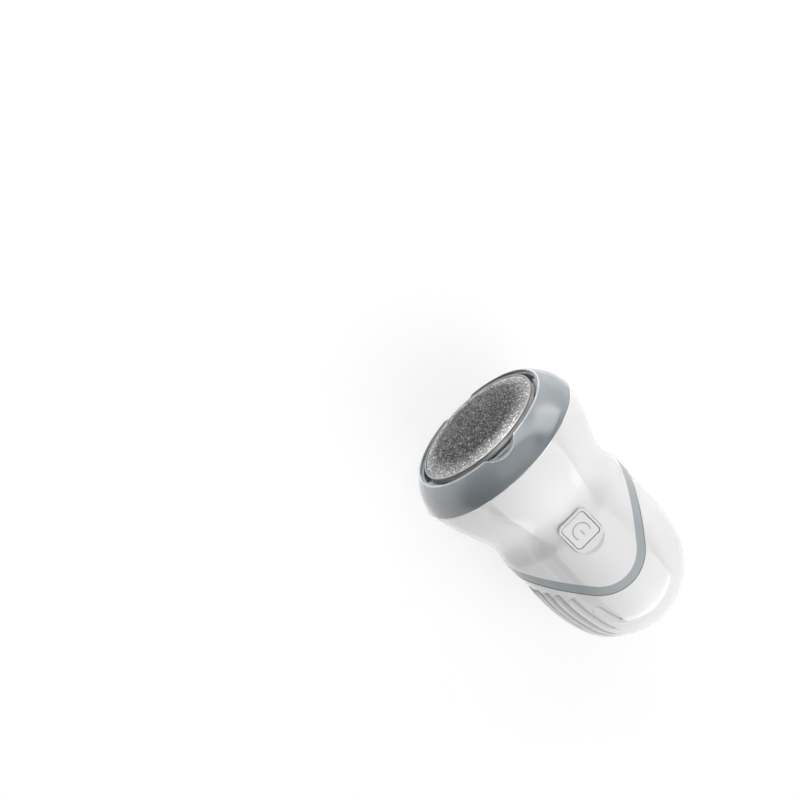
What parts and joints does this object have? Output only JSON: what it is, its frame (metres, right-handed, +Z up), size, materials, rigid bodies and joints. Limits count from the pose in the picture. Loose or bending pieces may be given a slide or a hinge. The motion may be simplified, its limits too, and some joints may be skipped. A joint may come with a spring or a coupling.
{
  "type": "electric callus remover",
  "caption": "Cordless hourglass-shaped foot grinder with a spinning domed abrasive disc in a grey head bezel, a front power button and a pull-off louvred dust cup.",
  "frame": {"origin": "centre of the bounding box's base, on the surface that the device lies on, on its back", "axes": "+Y runs level from the head towards the tail, +Z up towards the button side, +X towards the side with the louvres"},
  "size_m": [0.08, 0.1238, 0.0793],
  "materials": {
    "white_shell": "high-gloss white ABS",
    "white_cup": "high-gloss white ABS",
    "white_frame": "high-gloss white ABS",
    "white_button": "high-gloss white ABS",
    "grey_bezel": "satin-gloss cool grey ABS",
    "grey_trim": "satin cool grey ABS",
    "grey_tray": "darker cool grey ABS",
    "dark_plastic": "dark grey moulded plastic",
    "barrel_plastic": "light grey moulded plastic",
    "backing_plastic": "brown-grey moulded plastic",
    "fan_plastic": "dark moulded plastic",
    "rubber": "soft dark rubber",
    "bronze": "sintered bronze",
    "steel": "plated steel",
    "magnet": "dark sintered ferrite",
    "cell_sleeve": "shrink-wrapped cell",
    "circuit_board": "green solder mask",
    "port_metal": "plated steel shell",
    "grit": "coarse dark mineral grit with bright grains",
    "rim_metal": "rolled aluminium edge",
    "symbol_grey": "printed light grey",
    "filter_mesh": "fine filter mesh"
  },
  "bodies": {
    "handle": {"body_sleeve": "white_shell", "trim_band": "grey_trim", "head_bezel": "grey_bezel", "suction_tray": "grey_tray", "tray_gasket": "rubber", "motor_plate": "dark_plastic", "shaft_bearing": "bronze", "motor_can": "steel", "motor_cap": "dark_plastic", "magnet_front": "magnet", "magnet_back": "magnet", "motor_screw_1": "steel", "motor_screw_2": "steel", "plate_screw_1": "steel", "plate_screw_2": "steel", "plate_screw_3": "steel", "inner_barrel": "barrel_plastic", "battery_cell": "cell_sleeve", "battery_cradle": "dark_plastic", "control_board": "circuit_board", "switch_body": "dark_plastic", "button_frame": "white_frame", "charge_port": "port_metal", "charge_board": "circuit_board", "port_seal": "rubber"},
    "rotor": {"motor_shaft": "steel", "drive_hub": "dark_plastic", "fan_wheel": "fan_plastic", "armature": "magnet"},
    "disc": {"abrasive_pad": "grit", "disc_rim": "rim_metal", "disc_backing": "backing_plastic"},
    "button": {"button_cap": "white_button", "power_symbol": "symbol_grey", "switch_plunger": "dark_plastic"},
    "dust_cup": {"dust_cup": "white_cup", "filter_panel": "filter_mesh"}
  },
  "joints": [
    {"name": "rotor_spin", "type": "hinge", "parent": "handle", "child": "rotor", "pos_m": [0, -0.04432, 0.0396], "axis": [0, -0.9937, 0.112], "continuous": true},
    {"name": "disc_pull", "type": "slide", "parent": "rotor", "child": "disc", "axis": [0, -0.9937, 0.112], "range_m": [0, 0.012]},
    {"name": "cup_pull", "type": "slide", "parent": "handle", "child": "dust_cup", "axis": [0, 0.9937, -0.112], "range_m": [0, 0.05]},
    {"name": "button_press", "type": "slide", "parent": "handle", "child": "button", "axis": [0, -0.112, -0.9937], "range_m": [0, 0.0006], "stiffness_N_per_m": 2000}
  ]
}
